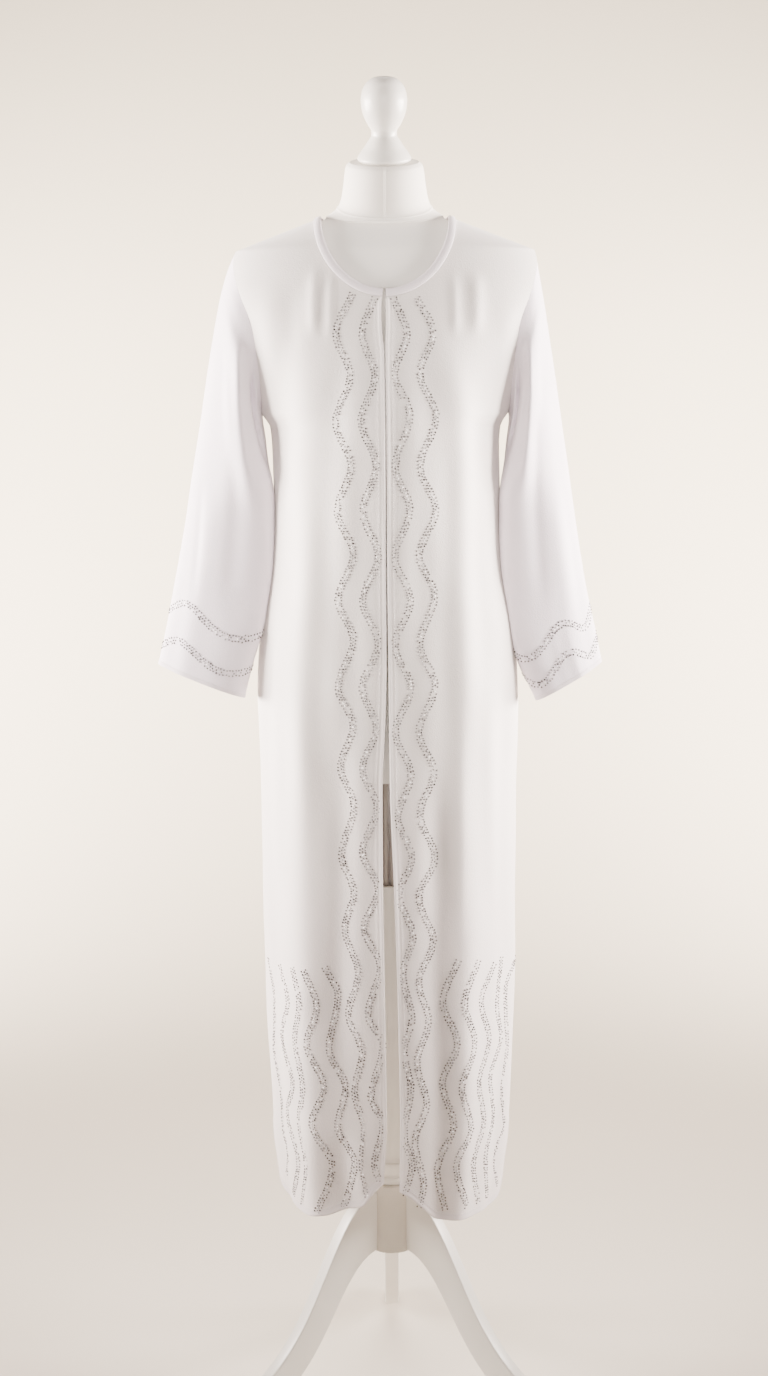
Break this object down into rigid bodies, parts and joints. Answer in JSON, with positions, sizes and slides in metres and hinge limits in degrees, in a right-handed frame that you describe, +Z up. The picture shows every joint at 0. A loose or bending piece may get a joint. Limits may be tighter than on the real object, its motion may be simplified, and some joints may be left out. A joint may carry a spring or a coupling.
{
  "type": "abaya on a dress form stand",
  "caption": "Long open-front abaya with straight set-in sleeves and a bound round neck, standing on a limbless padded dress form with turned finial, post, pole and curved tripod legs.",
  "frame": {"origin": "middle of the whole part's footprint, on the floor", "axes": "+Z up, the front of the garment faces -Y, +X to the right as seen from the front"},
  "size_m": [0.6092, 0.4402, 1.8221],
  "materials": {
    "white_crepe": "matte",
    "white_binding": "matte",
    "cream_jersey": "matte",
    "ivory_paint": "satin paint",
    "grey_steel": "satin",
    "dark_glide": "matte",
    "rhinestone": "foil-backed, faceted"
  },
  "bodies": {
    "root": {"form_body": "cream_jersey", "neck_finial": "ivory_paint", "post": "grey_steel", "pole": "ivory_paint", "hub": "ivory_paint", "leg_back": "ivory_paint", "leg_left": "ivory_paint", "leg_right": "ivory_paint", "glide_back": "dark_glide", "glide_left": "dark_glide", "glide_right": "dark_glide", "front_left": "white_crepe", "front_right": "white_crepe", "back": "white_crepe", "sleeve_left": "white_crepe", "sleeve_right": "white_crepe", "neck_binding": "white_binding"}
  },
  "joints": []
}
